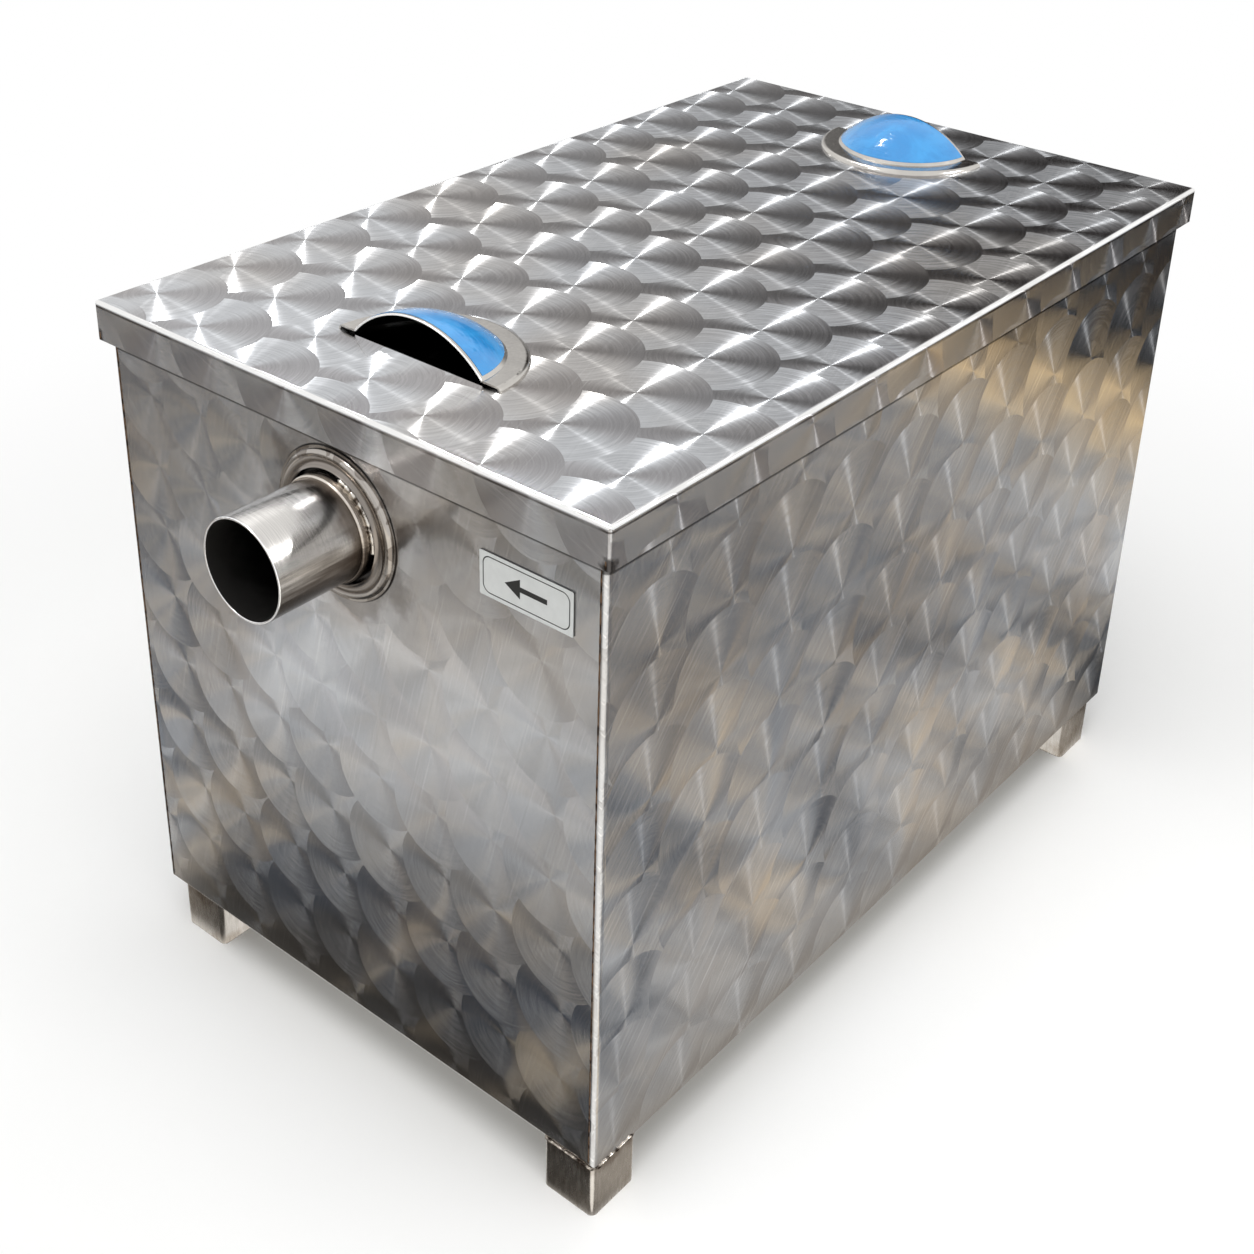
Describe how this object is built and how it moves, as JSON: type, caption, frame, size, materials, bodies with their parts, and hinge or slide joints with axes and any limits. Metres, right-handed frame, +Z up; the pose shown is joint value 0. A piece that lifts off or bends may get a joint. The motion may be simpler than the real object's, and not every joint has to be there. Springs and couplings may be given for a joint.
{
  "type": "grease trap",
  "caption": "Free-standing sheet-steel grease trap: box tank on square feet with a lift-off lid, half-dome pulls, pipe stubs, baffles and a strainer basket.",
  "frame": {"origin": "centre of the part's plan at the underside of the feet", "axes": "+X along the flow line from the outlet end to the inlet end, +Y to the rear side, +Z up"},
  "size_m": [0.8, 0.412, 0.5157],
  "materials": {
    "swirled_steel": "circular-ground stainless sheet",
    "plain_steel": "plain mill-finish stainless",
    "pipe_steel": "polished tube with weld tint",
    "foot_tube": "satin square tube",
    "handle_steel": "pressed and polished",
    "blue_film": "glossy protective film",
    "label_face": "satin printed plate",
    "gasket_rubber": "matt black"
  },
  "bodies": {
    "tank": {"outlet_end_panel": "swirled_steel", "inlet_end_panel": "swirled_steel", "front_side_panel": "swirled_steel", "rear_side_panel": "swirled_steel", "floor_panel": "plain_steel", "seat_strip_front": "plain_steel", "seat_strip_rear": "plain_steel", "seat_strip_outlet": "plain_steel", "seat_strip_inlet": "plain_steel", "foot_outlet_front": "foot_tube", "foot_outlet_rear": "foot_tube", "foot_inlet_front": "foot_tube", "foot_inlet_rear": "foot_tube", "outlet_pipe": "pipe_steel", "outlet_sleeve": "pipe_steel", "outlet_rosette": "pipe_steel", "inlet_pipe": "pipe_steel", "inlet_sleeve": "pipe_steel", "inlet_rosette": "pipe_steel", "dip_elbow": "plain_steel", "dip_leg": "plain_steel", "label_plate": "label_face", "inlet_baffle": "plain_steel", "outlet_baffle": "plain_steel", "basket_rail_front": "plain_steel", "basket_rail_rear": "plain_steel", "basket_floor": "plain_steel", "basket_side_front": "plain_steel", "basket_side_rear": "plain_steel", "basket_end_inlet": "plain_steel", "basket_end_baffle": "plain_steel", "basket_rim": "plain_steel", "basket_bar": "plain_steel"},
    "lid": {"lid": "swirled_steel", "lid_gasket": "gasket_rubber", "outlet_handle": "handle_steel", "inlet_handle": "handle_steel", "outlet_handle_film": "blue_film", "inlet_handle_film": "blue_film"}
  },
  "joints": [
    {"name": "lid_lift", "type": "slide", "parent": "tank", "child": "lid", "axis": [0, 0, 1], "range_m": [0, 0.3]}
  ]
}
